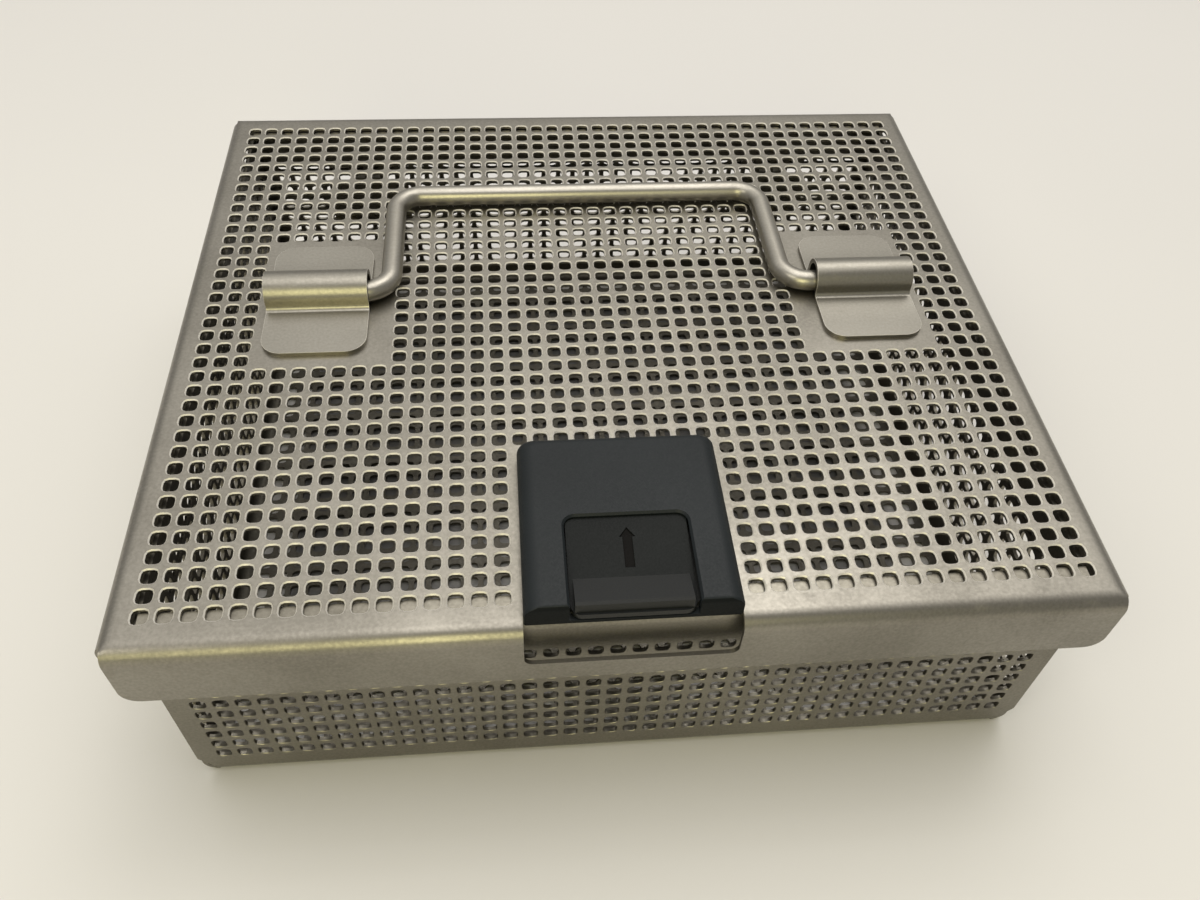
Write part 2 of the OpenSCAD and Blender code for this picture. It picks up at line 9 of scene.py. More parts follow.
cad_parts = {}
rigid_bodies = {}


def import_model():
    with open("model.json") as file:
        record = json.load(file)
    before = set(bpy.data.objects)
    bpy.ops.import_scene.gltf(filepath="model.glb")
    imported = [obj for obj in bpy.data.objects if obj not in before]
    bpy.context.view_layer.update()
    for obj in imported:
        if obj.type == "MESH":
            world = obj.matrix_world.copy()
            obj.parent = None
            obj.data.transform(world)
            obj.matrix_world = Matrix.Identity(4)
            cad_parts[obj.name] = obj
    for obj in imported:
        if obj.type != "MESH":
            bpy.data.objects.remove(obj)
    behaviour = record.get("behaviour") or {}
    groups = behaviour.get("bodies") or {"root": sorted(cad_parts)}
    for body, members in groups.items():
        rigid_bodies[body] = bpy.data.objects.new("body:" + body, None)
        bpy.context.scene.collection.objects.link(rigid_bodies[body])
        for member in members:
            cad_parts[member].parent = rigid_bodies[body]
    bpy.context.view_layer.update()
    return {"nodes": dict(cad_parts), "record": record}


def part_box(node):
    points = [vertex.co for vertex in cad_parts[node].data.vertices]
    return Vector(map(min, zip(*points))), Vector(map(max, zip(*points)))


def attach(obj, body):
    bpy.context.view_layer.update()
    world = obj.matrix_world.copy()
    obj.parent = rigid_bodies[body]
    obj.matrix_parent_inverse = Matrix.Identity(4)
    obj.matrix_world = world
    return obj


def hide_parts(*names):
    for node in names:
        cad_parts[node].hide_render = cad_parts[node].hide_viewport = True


# Start empty
for thing in list(bpy.data.objects):
    bpy.data.objects.remove(thing)

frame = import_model()

MM = 0.001

# Sizes that the frame gives
lid_low, lid_high = [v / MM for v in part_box("lid_sheet")]
tray_low, tray_high = [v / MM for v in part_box("base_tray")]
house_low, house_high = [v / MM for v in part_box("latch_housing")]
bracket_low, bracket_high = [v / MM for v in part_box("handle_bracket_right")]
bail_low, bail_high = [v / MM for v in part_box("handle_bail")]

# Sheet metal and its holes
SHEET = 1.0
PITCH = 5.0
HOLE = 3.5
HOLE_ROUND = 1.0
CORNER_POINTS = 3

# Steps of a bend and of a rounded corner
ARC_STEPS = 8
ROUND_STEP = 15

# Lid: its reach from the middle, its bend, its holes and the chamfer at their rims
LID_X = lid_high.x
LID_Y = -lid_low.y
LID_TOP = lid_high.z
LID_BEND = 4.0
LID_COLUMNS = 42
LID_ROWS = 37
LID_HOLE_EDGE = 0.3

# Flanges: rounding of their lower corners, and how many steps of the next bend they cover
FLANGE_ROUND = 4.0
FRONT_FLANGE_STEPS = 3
SIDE_FLANGE_STEPS = 1

# Areas of the lid without holes, under the brackets and round the latch
PLAIN_BRACKET_X = (55, 90)
PLAIN_BRACKET_Y = (-17.5, 32.5)
PLAIN_LATCH_X = 25
PLAIN_LATCH_Y = -47.5

# Window for the latch in the lid's front edge and front flange
WINDOW_PLAY = 0.1
WINDOW_X = round(house_high.x + WINDOW_PLAY, 3)
WINDOW_Y = 5.5 - LID_Y
WINDOW_LOW = LID_TOP - 12
WINDOW_ROUND = 2
WINDOW_LINES = [WINDOW_X - WINDOW_ROUND, WINDOW_X]

# Tray: its reach from the middle, its bend, its holes and its lips
TRAY_X = tray_high.x
TRAY_Y = -tray_low.y
TRAY_TOP = tray_high.z
TRAY_BEND = 3.5
TRAY_COLUMNS = 40
TRAY_ROWS = 36
TRAY_HOLE_EDGE = 0.1
WALL_FIRST_ROW = 10.6
WALL_ROWS = 9
LIP_BEND = 4.0
LIP_WIDTH = 6.5

# Corners of the tray, where the walls meet
WALL_JOINT_GAP = 0.05
LIP_END_GAP = 0.15
FOOT_PAST_FLAT = 0.5
SIDE_WALL_TOP = TRAY_TOP - 1.4
SIDE_WALL_STEP = 2.6

# Finishes of a sheet's faces, in the order of its materials: the inner skin's material carries
# painted shade, and on the lid the rims' material a painted highlight
OUTSIDE, INSIDE, EDGE = 0, 1, 2

# Handle brackets: the strip, its channel, and the share of its corners that the outline follows
STRIP = 1.2
STRIP_CORNER = 5.5
CHANNEL_R = 5.15
CHANNEL_Y = 7.75
CHANNEL_ROOT = 1.3
CORNER_FOLLOWED = 0.999

# Steps of a bracket's corners, channel and channel roots, and of a bend of the rod
STRIP_CORNER_STEPS = 10
CHANNEL_STEPS = 28
CHANNEL_ROOT_STEPS = 6
ROD_BEND_STEPS = 12

# Handle: bends of the rod and its straight ends
ROD_BEND = 7.3
ROD_END = 23.2

# Latch housing: height of its crown, and what its flanks, back and back corners come in by there
CROWN = 3.4
CROWN_STEPS = 12
FLANK_IN = 3.8
BACK_IN = 2.6
BACK_CORNER = 3
BACK_CORNER_IN = 1.2

# Front of the housing: its corners, its rounded top edge, its lean and how far back the painted shade
# on its front faces reaches
FRONT_CORNER = 0.7
NOSE_ROUND = 1.2
NOSE_ROUND_IN = 0.85
NOSE_LEAN = 0.2
FRONT_SHADE_DEPTH = 2

# Opening, cavity and screw holes of the housing
SILL = 1.0
ROOF = 0.9
OPENING_CHAMFER = 0.5
OPENING_CORNER = 2.5
CAVITY_X = 16.2
CAVITY_FRONT = house_low.y + 1.8
CAVITY_BACK = house_high.y - 2.6
CAVITY_CORNER = 0.4
SCREW_HOLE_R = 1.2
SCREW_ROOM = 0.3

# Slider: its gaps in the housing, its pad, thumb ridge, guide block and pegs
GAP = 0.3
ROOF_GAP = 0.15
PAD_X = 13.5
PAD_BACK = house_low.y + 23.6
PAD_FOOT = (house_low.y + 8.7, house_high.z - 2.6)
PAD_CORNER = 2.5
NOSE_TOP = house_high.z - 3.2
CREST = (house_low.y + 1, house_high.z - 0.6)
CREST_WIDTH = 0.7
CREST_FALL = 0.3
RIDGE_LEAN = 0.4
RIDGE_SUNK = 0.5
RIDGE_IN = 0.9
GUIDE_FRONT = house_low.y + 2.2
GUIDE_TOP = house_high.z - 3.5
GUIDE_CORNER = 0.5
PEG_X = 9
PEG_R = 0.8
PEG_LENGTH = 2.5
PEG_SUNK = 0.5

# Arrow on the pad, from its tip
ARROW_TIP = 2.8
ARROW_HEAD_X = 1.8
ARROW_HEAD = 2.4
ARROW_SHAFT_X = 1.1
ARROW_LENGTH = 10
ARROW_DEPTH = 0.4

# How far cutting solids reach past what they cut, and their corners where they cut nothing
PAST = 1
PAST_OPENING = 4
PAST_CAVITY = 2
FREE_CORNER = 0.1
FREE_OPENING_CORNER = 0.2

# Camera, from the photograph's perspective
CAMERA_AT = (-0.02399, -0.20866, 0.25221)
CAMERA_TURN = (40.6915, -2.2057, -4.8279)
CAMERA_LENS = 30.673
CAMERA_SENSOR = 36
CAMERA_NEAR = 0.01


def flat(value):
    """Place across a sheet, on its flat middle."""
    return ("flat", 0, round(value, 4))


def arc(side, step):
    """Place across a sheet, on a bend."""
    return ("arc", side, step)


def drop(side, height):
    """Place across a sheet, on a turned wall or flange."""
    return ("drop", side, round(height, 4))


def steps(side, last=ARC_STEPS):
    """The places round one bend, from the flat outwards."""
    return [arc(side, k) for k in range(1, last + 1)]


def face_lines(count, half, bend):
    """Lines across a flat face: a row of cells centred on zero, and a margin at each end."""
    cells = [flat((k - count / 2) * PITCH) for k in range(count + 1)]
    return [flat(bend - half)] + cells + [flat(half - bend)]


def bend_lines(lines, side):
    """Lines round the bend on one side of a flat face, from the face's last line."""
    return [lines[0] if side < 0 else lines[-1]] + steps(side)


def past_bends(lines, last):
    """Lines across a face that also go some steps round the bend at each end."""
    return steps(-1, last)[::-1] + lines + steps(1, last)


def widened(lines, reach):
    """Lines with one more at each end."""
    return [flat(-reach)] + lines + [flat(reach)]


def hole_outline(grow):
    """Outline of one rounded square hole about its centre."""
    half = HOLE / 2 + grow
    radius = HOLE_ROUND + grow
    points = []
    for corner in range(4):
        sx = 1 if corner in (0, 3) else -1
        sy = 1 if corner in (0, 1) else -1
        for k in range(CORNER_POINTS):
            angle = math.radians(90 * (corner + k / (CORNER_POINTS - 1)))
            points.append((sx * (half - radius) + radius * math.cos(angle),
                           sy * (half - radius) + radius * math.sin(angle)))
    return points


class Sheet:
    """A bent sheet, built as an outer and an inner skin over one net of places."""

    def __init__(self, place, hole_edge):
        self.place = place
        self.hole_edge = hole_edge
        self.points = []
        self.index = {}
        self.faces = []
        self.finish = []
        self.edges = {}

    def vertex(self, u, v, depth):
        """Number of the point at a place of the net, shared by all faces that meet there."""
        p = self.place(u, v, depth)
        key = (round(p[0], 3), round(p[1], 3), round(p[2], 3))
        if key not in self.index:
            self.index[key] = len(self.points)
            self.points.append(p)
        return self.index[key]

    def add_face(self, loop, finish):
        """Keeps one face and its finish."""
        self.faces.append(loop)
        self.finish.append(finish)

    def skin(self, net, depth, flip=False):
        """One face of the outer or the inner skin, unless its points fall together."""
        loop = []
        for u, v in net:
            i = self.vertex(u, v, depth)
            if not loop or (loop[-1] != i and loop[0] != i):
                loop.append(i)
        if len(loop) > 2:
            self.add_face(loop[::-1] if flip else loop, INSIDE if depth else OUTSIDE)

    def note_edges(self, net, flip):
        """Notes an area's edges, so that the free ones can be closed."""
        order = net[::-1] if flip else net
        for a, b in zip(order, order[1:] + order[:1]):
            pair = (self.vertex(*a, 0), self.vertex(*b, 0))
            if pair[0] != pair[1]:
                self.edges[pair] = (a, b)

    def patch(self, net, flip=False):
        """A plain area with both skins."""
        self.skin(net, 0, flip)
        self.skin(net, SHEET, not flip)
        self.note_edges(net, flip)

    def hole_cell(self, corners, point, flip=False):
        """One cell with a rounded hole. point(x, y) gives a place in the net."""
        rim = [point(x, y) for x, y in hole_outline(self.hole_edge)]
        wall = [point(x, y) for x, y in hole_outline(0)]
        count = len(rim)
        for ring, depth, turned in ((rim, 0, flip), (wall, SHEET, not flip)):
            for c in range(4):
                start = CORNER_POINTS * c
                first, middle, last = ring[start:start + CORNER_POINTS]
                after = ring[(start + CORNER_POINTS) % count]
                self.skin([corners[c], middle, first], depth, turned)
                self.skin([corners[c], last, middle], depth, turned)
                self.skin([corners[c], corners[(c + 1) % 4], after, last], depth, turned)
        for a in range(count):
            b = (a + 1) % count
            edge = [self.vertex(*rim[a], 0), self.vertex(*rim[b], 0),
                    self.vertex(*wall[b], self.hole_edge), self.vertex(*wall[a], self.hole_edge)]
            side = [edge[3], edge[2], self.vertex(*wall[b], SHEET), self.vertex(*wall[a], SHEET)]
            for loop, finish in ((edge, EDGE), (side, OUTSIDE)):
                self.add_face(loop[::-1] if flip else loop, finish)
        self.note_edges(corners, flip)

    def cell_face(self, lines_x, lines_y, kind, flip=False):
        """A flat face of cells and margins. kind(x, y) says what a cell with that middle is."""
        for a, b in zip(lines_y, lines_y[1:]):
            for c, d in zip(lines_x, lines_x[1:]):
                x, y = (c[2] + d[2]) / 2, (a[2] + b[2]) / 2
                in_rows = a != lines_y[0] and b != lines_y[-1]
                in_columns = c != lines_x[0] and d != lines_x[-1]
                if in_rows and in_columns and kind(x, y) == "hole":
                    corners = [(d, b), (c, b), (c, a), (d, a)]
                    self.hole_cell(corners, lambda p, q, x=x, y=y: (flat(x + p), flat(y + q)), flip)
                elif kind(x, y) != "left out":
                    self.patch([(c, a), (d, a), (d, b), (c, b)], flip)

    def band(self, va, ua, vb, ub, flip=False, swap=False, skip=None):
        """Areas between two lines of the net, each with its own places."""
        shared = [ua[0]] + [t for t in ua[1:-1] if t in ub[1:-1]] + [ua[-1]]
        for k in range(len(shared) - 1):
            if skip and skip(shared[k], shared[k + 1]):
                continue
            start_b = ub[0] if k == 0 else shared[k]
            end_b = ub[-1] if k == len(shared) - 2 else shared[k + 1]
            near = ua[ua.index(shared[k]):ua.index(shared[k + 1]) + 1]
            far = ub[ub.index(start_b):ub.index(end_b) + 1]
            net = [(t, va) for t in near] + [(t, vb) for t in reversed(far)]
            if swap:
                net = [(v, u) for u, v in net]
            self.patch(net, flip != swap)

    def bands(self, rows, places, flip=False, swap=False):
        """Areas between many lines of the net that share their places."""
        for va, vb in zip(rows, rows[1:]):
            self.band(va, places, vb, places, flip, swap)

    def close_rims(self):
        """Joins the two skins along every free edge."""
        for (i, j), (a, b) in self.edges.items():
            if (j, i) not in self.edges:
                loop = [j, i, self.vertex(*a, SHEET), self.vertex(*b, SHEET)]
                if len(set(loop)) == 4:
                    self.add_face(loop, OUTSIDE)

    def build(self, name, body, node):
        """Makes the piece of the finished net."""
        self.close_rims()
        mesh = bpy.data.meshes.new(name)
        mesh.from_pydata([(x * MM, y * MM, z * MM) for x, y, z in self.points], [], self.faces)
        mesh.polygons.foreach_set("material_index", self.finish)
        return finish_piece(name, mesh, body, node, sharp=32)


def finish_piece(name, mesh, body, node, sharp):
    """Makes a piece of a mesh, in place of a CAD node."""
    piece = bpy.data.objects.new(name, mesh)
    bpy.context.scene.collection.objects.link(piece)
    mesh.validate()
    mesh.polygons.foreach_set("use_smooth", [True] * len(mesh.polygons))
    mesh.set_sharp_from_angle(angle=math.radians(sharp))
    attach(piece, body)
    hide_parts(node)
    return piece


def lid_section(t, half, depth):
    """Distance from the middle and height of a place on the lid's section."""
    kind, side, value = t
    if kind == "flat":
        return value, LID_TOP - depth
    if kind == "arc":
        angle = math.radians(90 * value / ARC_STEPS)
        reach = LID_BEND - depth
        return (side * (half - LID_BEND + reach * math.sin(angle)),
                LID_TOP - LID_BEND + reach * math.cos(angle))
    return side * (half - depth), value


def flange_end(half, last):
    """How far from the middle a flange ends that covers some steps of the next bend."""
    return half - LID_BEND + LID_BEND * math.sin(math.radians(90 * last / ARC_STEPS))


def flange_foot(along, end):
    """Height of a flange's lower edge, with its rounded ends."""
    over = min(max(0, abs(along) - (end - FLANGE_ROUND)), FLANGE_ROUND)
    return lid_low.z + FLANGE_ROUND - math.sqrt(max(0, FLANGE_ROUND ** 2 - over ** 2))


def flange_rounding(end):
    """Places along a flange where its lower corner is rounded."""
    angles = [math.radians(ROUND_STEP * k) for k in range(90 // ROUND_STEP)]
    return [end - FLANGE_ROUND + FLANGE_ROUND * math.sin(a) for a in angles]


FRONT_FLANGE_END = flange_end(LID_X, FRONT_FLANGE_STEPS)
SIDE_FLANGE_END = flange_end(LID_Y, SIDE_FLANGE_STEPS)


def lid_place(u, v, depth):
    """Point of the lid at a place of the net, at a depth under its outer skin."""
    x, zx = lid_section(u, LID_X, depth)
    y, zy = lid_section(v, LID_Y, depth)
    if u[0] == "foot":
        return x, y, flange_foot(lid_section(v, LID_Y, 0)[0], SIDE_FLANGE_END)
    if v[0] == "foot":
        return x, y, flange_foot(lid_section(u, LID_X, 0)[0], FRONT_FLANGE_END)
    return x, y, min(zx, zy)


def with_extra(lines, values, half):
    """Lines across the lid with more flat ones sorted in."""
    extra = [flat(s * v) for v in values for s in (-1, 1)]
    return sorted(set(lines + extra), key=lambda t: lid_section(t, half, 0)[0])


def lid_cell(x, y):
    """What a cell of the lid's top is, by its middle."""
    bracket_x = PLAIN_BRACKET_X[0] < abs(x) < PLAIN_BRACKET_X[1]
    bracket_y = PLAIN_BRACKET_Y[0] < y < PLAIN_BRACKET_Y[1]
    if abs(x) < PLAIN_LATCH_X and y < -LID_ROWS * PITCH / 2:
        return "left out"
    if abs(x) < PLAIN_LATCH_X and y < PLAIN_LATCH_Y:
        return "plain"
    return "plain" if bracket_x and bracket_y else "hole"


def in_window(p, q):
    """Whether the stretch between two places lies in the window."""
    return p[0] == q[0] == "flat" and abs(p[2]) <= WINDOW_X and abs(q[2]) <= WINDOW_X


def lid_front_margin(sheet, lines_x, lines_y):
    """The strip behind the window, up to the first row of cells."""
    near = [t for t in lines_x if abs(t[2]) <= PLAIN_LATCH_X]
    cut = with_extra(near, WINDOW_LINES, LID_X)
    edge = flat(WINDOW_Y)
    sheet.band(edge, cut, lines_y[1], near)
    sheet.band(lines_y[0], cut, edge, cut, skip=in_window)


def lid_front_and_back(sheet, lines_x, lines_y):
    """Front and back bends with their flanges; the window is cut into the front."""
    whole = past_bends(lines_x, FRONT_FLANGE_STEPS)
    for side in (-1, 1):
        front = side < 0
        cut = with_extra(whole, WINDOW_LINES, LID_X) if front else whole
        rows = bend_lines(lines_y, side)
        if front:
            rows += [drop(side, WINDOW_LOW + WINDOW_ROUND), drop(side, WINDOW_LOW)]
        for va, vb in zip(rows, rows[1:]):
            sheet.band(va, cut, vb, cut, flip=front, skip=in_window if front else None)
        lower = with_extra(cut, flange_rounding(FRONT_FLANGE_END), LID_X)
        sheet.band(rows[-1], cut, ("foot", side, 0), lower, flip=front)


def lid_window_corners(sheet):
    """Rounded lower corners of the window."""
    for side in (-1, 1):
        net = [(flat(side * WINDOW_X), drop(-1, WINDOW_LOW))]
        for k in range(90 // ROUND_STEP + 1):
            angle = math.radians(ROUND_STEP * k)
            x = WINDOW_X - WINDOW_ROUND + WINDOW_ROUND * math.cos(angle)
            z = WINDOW_LOW + WINDOW_ROUND - WINDOW_ROUND * math.sin(angle)
            net.append((flat(side * x), drop(-1, z)))
        sheet.patch(net, flip=side < 0)


def lid_sides(sheet, lines_x, lines_y):
    """Side bends with their flanges."""
    whole = past_bends(lines_y, SIDE_FLANGE_STEPS)
    lower = with_extra(whole, flange_rounding(SIDE_FLANGE_END), LID_Y)
    for side in (-1, 1):
        rows = bend_lines(lines_x, side)
        sheet.bands(rows[:FRONT_FLANGE_STEPS + 1], lines_y, flip=side < 0, swap=True)
        sheet.bands(rows[FRONT_FLANGE_STEPS:], whole, flip=side < 0, swap=True)
        sheet.band(rows[-1], whole, ("foot", side, 0), lower, flip=side < 0, swap=True)


def make_lid():
    """The lid: perforated top, four flanges and the window for the latch."""
    sheet = Sheet(lid_place, LID_HOLE_EDGE)
    lines_x = face_lines(LID_COLUMNS, LID_X, LID_BEND)
    lines_y = face_lines(LID_ROWS, LID_Y, LID_BEND)
    sheet.cell_face(lines_x, lines_y, lid_cell)
    lid_front_margin(sheet, lines_x, lines_y)
    lid_front_and_back(sheet, lines_x, lines_y)
    lid_window_corners(sheet)
    lid_sides(sheet, lines_x, lines_y)
    return sheet.build("lid_perforated_sheet", "lid", "lid_sheet")


def tray_section(t, half, depth):
    """Distance from the middle and height of a place on the tray's section."""
    kind, side, value = t
    angle = math.radians(90 * value / ARC_STEPS)
    if kind == "flat":
        return value, depth
    if kind == "arc":
        reach = TRAY_BEND - depth
        return (side * (half - TRAY_BEND + reach * math.sin(angle)),
                TRAY_BEND - reach * math.cos(angle))
    if kind == "lip_arc":
        reach = LIP_BEND - depth
        return (side * (half - LIP_BEND + reach * math.cos(angle)),
                TRAY_TOP - LIP_BEND + reach * math.sin(angle))
    if kind == "lip":
        return side * value, TRAY_TOP - depth
    return side * (half - depth), value


def tray_place(u, v, depth):
    """Point of the tray at a place of the net, at a depth under its outer skin."""
    x, zx = tray_section(u, TRAY_X, depth)
    y, zy = tray_section(v, TRAY_Y, depth)
    return x, y, max(zx, zy)


def tray_wall(sheet, side, line, rows, swap=False):
    """The rows of holes of a front or back wall; swapped, of a side wall."""
    flip = (side > 0) != swap

    def place(t, z):
        """Place in the net, across the wall and up it."""
        return (drop(side, z), t) if swap else (t, drop(side, z))

    cells = line[2:-2]
    for low, high in zip(rows, rows[1:]):
        for c, d in zip(line, line[1:]):
            if c in cells and d in cells:
                x, z = (c[2] + d[2]) / 2, (low + high) / 2
                corners = [place(d, high), place(c, high), place(c, low), place(d, low)]
                sheet.hole_cell(corners, lambda p, q, x=x, z=z: place(flat(x + p), z + q), flip)
            else:
                sheet.patch([place(c, low), place(d, low), place(d, high), place(c, high)], flip)


def tray_front_and_back(sheet, lines_x, lines_y, rows):
    """Front and back walls, with the lips turned in on top."""
    full = widened(lines_x, TRAY_X)
    foot = widened(lines_x, lines_x[-1][2] + FOOT_PAST_FLAT)
    short = widened(lines_x, TRAY_X - SHEET - LIP_END_GAP)
    stepped = widened(short, TRAY_X)
    for side in (-1, 1):
        flip = side > 0
        bend = bend_lines(lines_y, side)
        sheet.bands(bend, lines_x, flip)
        sheet.band(bend[-1], foot, drop(side, rows[0]), full, flip)
        tray_wall(sheet, side, full, rows)
        sheet.band(drop(side, rows[-1]), full, drop(side, TRAY_TOP - LIP_BEND), stepped, flip)
        lip = [("lip_arc", side, k) for k in range(ARC_STEPS + 1)]
        sheet.bands(lip + [("lip", side, TRAY_Y - LIP_WIDTH)], short, flip)


def tray_sides(sheet, lines_x, lines_y, rows):
    """Side walls, between the front and back walls, with stepped upper corners."""
    line = widened(lines_y, TRAY_Y - SHEET - WALL_JOINT_GAP)
    for side in (-1, 1):
        flip = side > 0
        bend = bend_lines(lines_x, side)
        step = drop(side, SIDE_WALL_TOP - SIDE_WALL_STEP)
        sheet.bands(bend + [drop(side, rows[0])], line, flip, swap=True)
        tray_wall(sheet, side, line, rows, swap=True)
        sheet.bands([drop(side, rows[-1]), step], line, flip, swap=True)
        sheet.bands([step, drop(side, SIDE_WALL_TOP)], lines_y, flip, swap=True)


def make_tray():
    """The tray: perforated floor and walls, and plain lips at front and back."""
    sheet = Sheet(tray_place, TRAY_HOLE_EDGE)
    lines_x = face_lines(TRAY_COLUMNS, TRAY_X, TRAY_BEND)
    lines_y = face_lines(TRAY_ROWS, TRAY_Y, TRAY_BEND)
    rows = [WALL_FIRST_ROW - PITCH / 2 + k * PITCH for k in range(WALL_ROWS + 1)]
    sheet.cell_face(lines_x, lines_y, lambda x, y: "hole", flip=True)
    tray_front_and_back(sheet, lines_x, lines_y, rows)
    tray_sides(sheet, lines_x, lines_y, rows)
    return sheet.build("tray_perforated_sheet", "tray", "base_tray")


def arc_points(cx, cy, radius, start, end, count=8):
    """Points of an arc, with its angles in degrees."""
    angles = [math.radians(start + (end - start) * k / count) for k in range(count + 1)]
    return [(cx + radius * math.cos(a), cy + radius * math.sin(a)) for a in angles]


def unit(a, b):
    """Direction from one point of a section to another."""
    length = math.hypot(b[0] - a[0], b[1] - a[1])
    return (b[0] - a[0]) / length, (b[1] - a[1]) / length


def offset_path(path, distance):
    """The path moved to its right by a distance, mitred at its corners."""
    moved = []
    last = len(path) - 1
    for k, p in enumerate(path):
        a = unit(path[max(k - 1, 0)], path[max(k, 1)])
        b = unit(path[min(k, last - 1)], path[min(k + 1, last)])
        n = (a[1] + b[1], -(a[0] + b[0]))
        scale = 2 * distance / (n[0] ** 2 + n[1] ** 2)
        moved.append((p[0] + n[0] * scale, p[1] + n[1] * scale))
    return moved


def from_bmesh(name, mesh, body, node, sharp):
    """Makes a piece of a closed bmesh."""
    bmesh.ops.recalc_face_normals(mesh, faces=mesh.faces)
    data = bpy.data.meshes.new(name)
    mesh.to_mesh(data)
    mesh.free()
    return finish_piece(name, data, body, node, sharp)


def apply_modifiers(piece):
    """Fixes the piece's modifiers into its mesh."""
    view = bpy.context.evaluated_depsgraph_get()
    data = bpy.data.meshes.new_from_object(piece.evaluated_get(view))
    old = piece.data
    piece.modifiers.clear()
    piece.data = data
    bpy.data.meshes.remove(old)


def soften(piece, width, segments, angle, finish=-1):
    """Rounds a piece's sharp edges, giving the rounded faces a material of their own if one is given.
    """
    bevel = piece.modifiers.new("edges", "BEVEL")
    bevel.width = width * MM
    bevel.segments = segments
    bevel.limit_method = "ANGLE"
    bevel.angle_limit = math.radians(angle)
    bevel.harden_normals = True
    bevel.material = finish
    apply_modifiers(piece)


def combine(piece, solid, operation):
    """Adds a solid to a piece, cuts it away or keeps what both share."""
    bmesh.ops.recalc_face_normals(solid, faces=solid.faces)
    data = bpy.data.meshes.new("solid")
    solid.to_mesh(data)
    solid.free()
    tool = bpy.data.objects.new("solid", data)
    bpy.context.scene.collection.objects.link(tool)
    boolean = piece.modifiers.new("solid", "BOOLEAN")
    boolean.object = tool
    boolean.operation = operation
    boolean.solver = "EXACT"
    apply_modifiers(piece)
    bpy.data.objects.remove(tool)


def prism(levels):
    """Closed solid through rings of points, each ring a list of x, y, z."""
    mesh = bmesh.new()
    rings = [[mesh.verts.new([v * MM for v in point]) for point in ring] for ring in levels]
    for a, b in zip(rings, rings[1:]):
        for k in range(len(a)):
            n = (k + 1) % len(a)
            mesh.faces.new([a[k], a[n], b[n], b[k]])
    mesh.faces.new(rings[0][::-1])
    mesh.faces.new(rings[-1])
    return mesh


def upright(outline, low, high):
    """Closed solid over a plan outline."""
    return prism([[(x, y, z) for x, y in outline] for z in (low, high)])


def across(profile, half):
    """Closed solid over a side profile, from -half to half across."""
    return prism([[(x, y, z) for y, z in profile] for x in (-half, half)])


def rod(x, y, z, radius, length, axis, sides=20):
    """Closed round bar from a point along +y or +z."""
    ring = arc_points(0, 0, radius, 0, 360 * (sides - 1) / sides, sides - 1)
    if axis == "y":
        return prism([[(x + a, y + d, z + b) for a, b in ring] for d in (0, length)])
    return prism([[(x + a, y + b, z + d) for a, b in ring] for d in (0, length)])


def tube(path, radius, sides=32):
    """Closed round bar along a level path of vectors."""
    up = Vector((0, 0, 1))
    rings = []
    for k, p in enumerate(path):
        ahead = path[min(k + 1, len(path) - 1)] - p
        behind = p - path[max(k - 1, 0)]
        way = (ahead.normalized() + behind.normalized()).normalized()
        sideways = way.cross(up)
        angles = [2 * math.pi * s / sides for s in range(sides)]
        rings.append([p + (sideways * math.cos(a) + up * math.sin(a)) * radius for a in angles])
    return prism(rings)


def rounded_rect(x0, x1, y0, y1, back, front):
    """Plan outline with rounded back and front corners, anticlockwise."""
    return (arc_points(x1 - back, y1 - back, back, 0, 90)
            + arc_points(x0 + back, y1 - back, back, 90, 180)
            + arc_points(x0 + front, y0 + front, front, 180, 270)
            + arc_points(x1 - front, y0 + front, front, 270, 360))


def add_slots(piece, count):
    """Gives a piece empty material slots, up to a number."""
    while len(piece.data.materials) < count:
        piece.data.materials.append(None)


def strip_path():
    """Upper line of a bracket from front to back: tab, channel and tab, as y and z."""
    tab = bracket_low.z + STRIP
    channel_z = bracket_high.z - CHANNEL_R
    front, back = CHANNEL_Y - CHANNEL_R - CHANNEL_ROOT, CHANNEL_Y + CHANNEL_R + CHANNEL_ROOT
    root_z = tab + CHANNEL_ROOT
    front_tab = arc_points(bracket_low.y + STRIP_CORNER, tab, STRIP_CORNER, 180, 90,
                           STRIP_CORNER_STEPS)
    back_tab = arc_points(bracket_high.y - STRIP_CORNER, tab, STRIP_CORNER, 90, 0,
                          STRIP_CORNER_STEPS)
    return ([(y, tab) for y, _ in front_tab]
            + arc_points(front, root_z, CHANNEL_ROOT, 270, 360, CHANNEL_ROOT_STEPS)
            + arc_points(CHANNEL_Y, channel_z, CHANNEL_R, 180, 0, CHANNEL_STEPS)
            + arc_points(back, root_z, CHANNEL_ROOT, 180, 270, CHANNEL_ROOT_STEPS)
            + [(y, tab) for y, _ in back_tab])


def make_bracket(side, node, name):
    """A pressed strip whose channel holds the handle's end."""
    followed = STRIP_CORNER * CORNER_FOLLOWED
    outer = strip_path()
    rings = []
    for (yo, zo), (yi, zi) in zip(outer, offset_path(outer, STRIP)):
        to_end = max(0, STRIP_CORNER - min(yo - bracket_low.y, bracket_high.y - yo))
        cut = STRIP_CORNER - math.sqrt(STRIP_CORNER ** 2 - min(to_end, followed) ** 2)
        a, b = side * (bracket_low.x + cut), side * (bracket_high.x - cut)
        rings.append([(a, yo, zo), (b, yo, zo), (b, yi, zi), (a, yi, zi)])
    piece = from_bmesh(name, prism(rings), "lid", node, sharp=30)
    add_slots(piece, 2)
    # The rounded rims take the second material, the edge steel with painted highlight.
    soften(piece, width=0.45, segments=3, angle=50, finish=1)
    return piece


